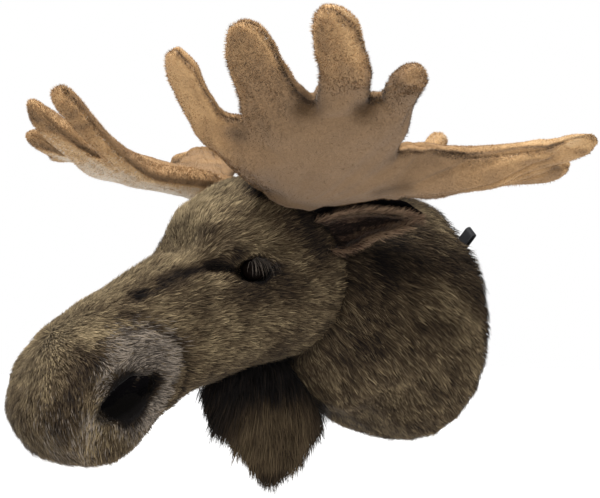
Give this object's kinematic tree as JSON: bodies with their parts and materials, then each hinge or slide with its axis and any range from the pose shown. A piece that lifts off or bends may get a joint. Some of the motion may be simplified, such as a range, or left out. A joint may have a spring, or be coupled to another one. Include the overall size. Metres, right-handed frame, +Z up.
{
  "type": "plush moose head wall trophy",
  "caption": "Stuffed plush moose head with palmed antlers, cupped ears and a throat bell, on a round backing board that hangs flat on a wall.",
  "frame": {"origin": "centre of the backing board's rear face, on the wall plane", "axes": "+Z up, +Y into the wall, so the moose looks along -Y; +X is the moose's left"},
  "size_m": [0.7441, 0.5695, 0.5011],
  "materials": {
    "board_wood": "sawn plywood, bare",
    "neck_fur": "dark brown long-pile plush with lighter flecks",
    "head_fur": "olive brown long-pile plush, greyer round the muzzle",
    "bell_fur": "very long dark pile, olive brown in the middle",
    "antler_plush": "short tan pile shaded brown along seams and tine roots",
    "ear_plush": "brown pile with a tan rim, darker inside",
    "ear_back_felt": "smooth black felt",
    "eye_glass": "glossy black",
    "nostril_felt": "matte black felt",
    "strap_webbing": "black woven tape"
  },
  "bodies": {
    "root": {"back_board": "board_wood", "neck": "neck_fur", "head": "head_fur", "bell": "bell_fur", "antler_left": "antler_plush", "ear_left": "ear_plush", "ear_back_left": "ear_back_felt", "eye_left": "eye_glass", "nostril_lining_left": "nostril_felt", "hanging_strap_left": "strap_webbing", "antler_right": "antler_plush", "ear_right": "ear_plush", "ear_back_right": "ear_back_felt", "eye_right": "eye_glass", "nostril_lining_right": "nostril_felt", "hanging_strap_right": "strap_webbing"}
  },
  "joints": []
}
